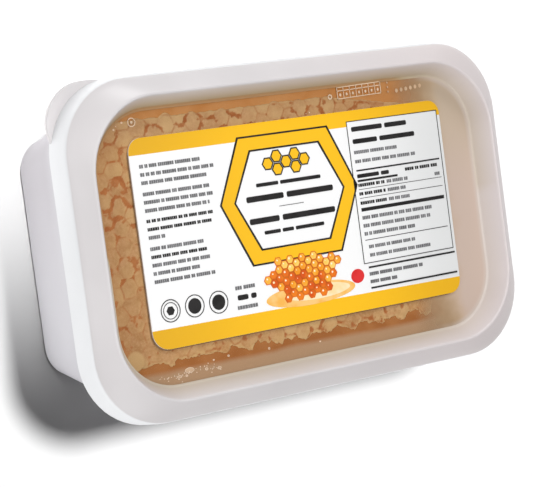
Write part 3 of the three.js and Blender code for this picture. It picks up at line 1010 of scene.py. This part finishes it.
def comb_fields(x, y):
    """Height, honey share and pale share, painted highlights included, of the comb's upper face."""
    seeds = cell_seeds()
    warp_x = x + (layered_noise(x, y, 3.4, 5) - 0.5)
    warp_y = y + (layered_noise(x, y, 3.4, 15) - 0.5)
    order, near = nearest_cells(warp_x, warp_y, seeds)
    first = order[:, 0]
    cell_chance = np.random.default_rng(3).random(len(seeds))[first]
    seam_chance = pair_chance(first, order[:, 1])
    border = (near[:, 1] - near[:, 0]) / 2
    fine = layered_noise(x, y, 1.5, 35)
    broad = layered_noise(x, y, 9.0, 25)
    line, wet = honey_share(x, y, border, near[:, 0], seam_chance, cell_chance, fine)
    # How far each point lies towards the lit side of its cap, which is painted paler as painted
    # highlight.
    side = ((warp_x - seeds[first, 0]) * 0.8 - (warp_y - seeds[first, 1]) * 0.5) / CELL
    dome = CAP_RISE * np.sqrt(progress(border, 0, CELL / 2))
    height = dome - WET_DIP * np.maximum(wet - line, 0) + SWELL * (broad - 0.5)
    return height, wet, pale_and_highlight_share(border, side, cell_chance, fine, broad)


def comb_edge(x, y):
    """Distance inside the comb's outline, which is scalloped by its cells and ragged in front."""
    def inside(px, py):
        back = np.where(py > 0, BACK_SLOPE * np.maximum(0, px - BACK_SLOPE_FROM), 0)
        return rounded_distance(px, py + back, COMB_LEFT, COMB_RIGHT, COMB_FRONT, COMB_BACK, COMB_CORNER)

    seeds = cell_seeds()
    depth = inside(seeds[:, 0], seeds[:, 1])
    in_front = (seeds[:, 1] < COMB_FRONT + 4.5) & (seeds[:, 0] > COMB_LEFT + 12)
    torn = in_front & (np.random.default_rng(5).random(len(seeds)) < TORN_UNDER)
    seeds = seeds[(depth > 2.3) & ~torn]
    caps = np.empty(len(x))
    for part in np.array_split(np.arange(len(x)), 24):
        gaps = np.hypot(x[part, None] - seeds[None, :, 0], y[part, None] - seeds[None, :, 1])
        caps[part] = CAP_REACH - gaps.min(axis=1)
    ragged = progress(y, RAGGED_Y, RAGGED_Y - 6) * progress(x, COMB_LEFT + 5, COMB_LEFT + 13)
    fill = CORNER_FILL - np.hypot(x - CORNER_FILL_AT[0], y - CORNER_FILL_AT[1])
    edge = np.maximum.reduce([caps, inside(x, y) - 0.7 - 0.7 * ragged, fill])
    rough = (layered_noise(x, y, 4.0, 65) - 0.5) * (0.4 + 2.0 * ragged)
    rough = rough + (layered_noise(x, y, 1.1, 69) - 0.5) * (0.4 + ragged)
    return edge + rough


def comb_top(x, y, edge, keep):
    """Height, honey share and pale share with its painted highlights at each grid point, with a pale rim
    and one pale cap.
    """
    height, wet, pale_and_highlight = (np.zeros(len(x)) for _ in range(3))
    for part in np.array_split(np.flatnonzero(keep), 16):
        height[part], wet[part], pale_and_highlight[part] = comb_fields(x[part], y[part])
    z = COMB_TOP_Z - COMB_SINK + height - progress(edge, 0.35, -0.35) ** 2 * EDGE_FALL
    front = progress(y, RAGGED_Y, RAGGED_Y - 3)
    rim = progress(np.abs(edge - 0.28), 0.42, 0) * np.where(y > COMB_BACK - 7, 0.75, front)
    pale_cap = progress(np.hypot(x - CORNER_CAP[0], y - CORNER_CAP[1]), 3.0, 2.5)
    wet = wet * (1 - rim * 0.9) * (1 - pale_cap)
    pale_and_highlight = np.maximum(np.clip(pale_and_highlight + rim, 0, 1), pale_cap * 0.9)
    return z, wet, pale_and_highlight


def make_comb():
    """Fine relief round the label and one plain sheet under it, on a body that tapers down."""
    xs = np.arange(COMB_LEFT - 2, COMB_RIGHT + 3, COMB_GRID)
    ys = np.arange(COMB_FRONT - 2.4, COMB_BACK + 2.4, COMB_GRID)
    grid_x, grid_y = np.meshgrid(xs, ys, indexing="ij")
    x, y = grid_x.ravel(), grid_y.ravel()
    left, right = np.searchsorted(xs, [LABEL_LEFT + UNDER_LABEL, COMB_RIGHT - 6])
    near, far = np.searchsorted(ys, [LABEL_LOW + UNDER_LABEL, LABEL_HIGH - UNDER_LABEL])
    covered = np.zeros(grid_x.shape, bool)
    covered[left + 1:right, near + 1:far] = True
    edge = comb_edge(x, y)
    keep = (edge > -0.9) & ~covered.ravel()
    z, wet, pale_and_highlight = comb_top(x, y, edge, keep)
    quads = grid_quads(grid_x.shape)
    quads = quads[keep[quads].all(axis=1)]
    used = np.unique(quads)
    place = np.full(len(x), -1)
    place[used] = np.arange(len(used))
    spots = place.reshape(grid_x.shape)
    sheet = [*spots[left:right + 1, near], *spots[right, near + 1:far + 1],
             *spots[right - 1:left:-1, far], *spots[left, far:near:-1]]
    tops = [tuple(quad) for quad in place[quads].tolist()] + [tuple(int(i) for i in sheet)]
    top = np.column_stack([x[used], y[used], z[used]])
    middle = (COMB_LEFT + COMB_RIGHT) / 2
    low = np.column_stack([middle + (top[:, 0] - middle) * COMB_TAPER, top[:, 1] * COMB_TAPER,
                           np.full(len(top), COMB_BOTTOM_Z)])
    points, faces = closed_below(top, tops, low)
    comb = make_piece("comb_piece", points, faces, 60)
    for name, values in (("wet", wet[used]), ("pale_and_highlight", pale_and_highlight[used])):
        paint(comb, name, np.concatenate([values, values * 0]))
    comb.data.materials.append(comb_wax())
    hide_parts("comb")


# Honey

def make_honey():
    """Honey up to the panel round the comb, sloping to a shallow pool at the empty end."""
    reach = WALL - WALL_BITE
    half_x, half_y = tub_half(progress(HONEY_Z, BASE_ROUND, TUB_TOP_Z), reach)
    low_x, low_y = tub_half(0, reach + 0.6)
    xs = np.unique(np.concatenate([np.linspace(-1, 0.68, 90), np.linspace(0.68, 0.9, 22),
                                   np.linspace(0.9, 1, 6)]))
    ys = np.concatenate([np.linspace(-1, -0.62, 50), np.linspace(-0.60, 1, 50)])
    u, v = np.meshgrid(xs, ys, indexing="ij")
    cut = np.maximum(0, np.abs(u) * half_x - (half_x - HONEY_CORNER))
    limit = (half_y - HONEY_CORNER + np.sqrt(np.maximum(0, HONEY_CORNER ** 2 - cut ** 2))) / half_y
    top_x, top_y = u * half_x, v * half_y * limit
    share = progress(top_x, HONEY_END, HONEY_END + HONEY_SLOPE)
    top_z = HONEY_Z + (POOL_Z - HONEY_Z) * (1 - np.cos(share * math.pi / 2)) ** 0.6
    narrowing = 1 - progress(top_z, BASE_ROUND, HONEY_Z)
    top_x = top_x * (1 - narrowing * (1 - low_x / half_x))
    top_y = top_y * (1 - narrowing * (1 - low_y / half_y))
    top = np.column_stack([top_x.ravel(), top_y.ravel(), top_z.ravel()])
    low = np.column_stack([(u * low_x).ravel(), (v * low_y * limit).ravel(),
                           np.full(u.size, FLOOR_Z - 0.2)])
    points, faces = closed_below(top, [tuple(quad) for quad in grid_quads(u.shape).tolist()], low)
    honey = make_piece("honey_body", points, faces, 60)
    waver = (layered_noise(top[:, 0], top[:, 1], 14, 95) - 0.5) * 1.2
    thin = progress(waver - top[:, 1], 32.3, 33.8)
    paint(honey, "thin", np.concatenate([thin, thin]))
    honey.data.materials.append(honey_syrup())
    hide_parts("honey")


# Floor, lights and camera

def make_floor():
    bpy.ops.mesh.primitive_plane_add(size=6, location=(0, 0, 0))
    floor = bpy.context.object
    floor.name = "floor"
    floor.data.materials.append(floor_paint())
    return floor


def add_light(name, data, away, at, receivers):
    """A light at a place, turned to shine opposite to away, on its receivers alone."""
    light = bpy.data.objects.new(name, data)
    bpy.context.scene.collection.objects.link(light)
    light.location = at
    light.rotation_mode = "QUATERNION"
    light.rotation_quaternion = away.to_track_quat("Z", "Y")
    light.light_linking.receiver_collection = receivers


def area_light(name, toward, distance, size, strength, receivers):
    """A round soft light aimed at the tub. Strength is what a white face turned to it shows."""
    data = bpy.data.lights.new(name, "AREA")
    data.shape, data.size = "DISK", size
    data.energy = strength * (math.pi * distance) ** 2
    away = Vector(toward).normalized()
    add_light(name, data, away, away * distance + Vector((0, 0, 0.02)), receivers)


def spot_light(name, toward, target, distance, reach, blend, strength, receivers):
    """A soft round pool of light on the floor, reach wide to each side of its target."""
    data = bpy.data.lights.new(name, "SPOT")
    data.spot_size, data.spot_blend = 2 * math.atan(reach / distance), blend
    data.shadow_soft_size = 0.03
    data.energy = strength * (2 * math.pi * distance) ** 2
    away = Vector(toward).normalized()
    add_light(name, data, away, Vector(target) + away * distance, receivers)


def make_lights(floor):
    """Two lights for the floor, which shape its shadow, four soft ones for the tub, a pale room."""
    below = bpy.data.collections.new("lit_floor")
    below.objects.link(floor)
    tub = bpy.data.collections.new("lit_tub")
    for piece in bpy.context.scene.objects:
        if piece.type == "MESH" and piece is not floor:
            tub.objects.link(piece)
    area_light("floor_light", (0.13, 0.13, 1.0), 1.1, 0.26, 1.90, below)
    spot_light("back_spot", (-0.35, 0.35, 1.0), (-0.093, 0.050, 0.0), 1.1, 0.063, 0.5, 2.0, below)
    area_light("top_light", (-0.10, 0.10, 1.00), 1.2, 1.2, 0.62, tub)
    area_light("back_light", (0.25, 0.85, 0.50), 1.2, 0.4, 0.44, tub)
    area_light("side_light", (-1.0, 0.10, 0.45), 1.2, 0.6, 0.23, tub)
    area_light("front_light", (-0.25, -0.85, 0.5), 1.2, 0.8, 0.35, tub)
    world = bpy.data.worlds.new("studio")
    world.use_nodes = True
    background = world.node_tree.nodes["Background"]
    background.inputs["Color"].default_value = (1, 1, 1, 1)
    background.inputs["Strength"].default_value = 0.12
    bpy.context.scene.world = world
    bpy.context.scene.view_settings.view_transform = "Standard"


def make_camera():
    """The camera of the photograph, from its fitted place, right and up."""
    data = bpy.data.cameras.new("camera")
    data.sensor_width, data.lens = 36.0, CAMERA_LENS
    data.clip_start, data.clip_end = 0.01, 20.0
    camera = bpy.data.objects.new("camera", data)
    bpy.context.scene.collection.objects.link(camera)
    right, up = Vector(CAMERA_RIGHT).normalized(), Vector(CAMERA_UP).normalized()
    back = right.cross(up).normalized()
    turn = Matrix((right, back.cross(right), back)).transposed().to_4x4()
    camera.matrix_world = Matrix.Translation(Vector(CAMERA_AT) * MM) @ turn
    bpy.context.scene.camera = camera


make_camera()
floor = make_floor()
make_tub()
make_lid()
make_tab()
yellow = make_label()
dark = print_ink("print_dark", 22, 20, 20)
grey = print_ink("print_grey", 104, 104, 106)
make_centre(yellow, dark)
make_text(dark, grey)
make_badges(dark)
make_table(dark, grey)
make_picture()
make_marks()
make_comb()
make_honey()
make_bubbles()
make_lights(floor)
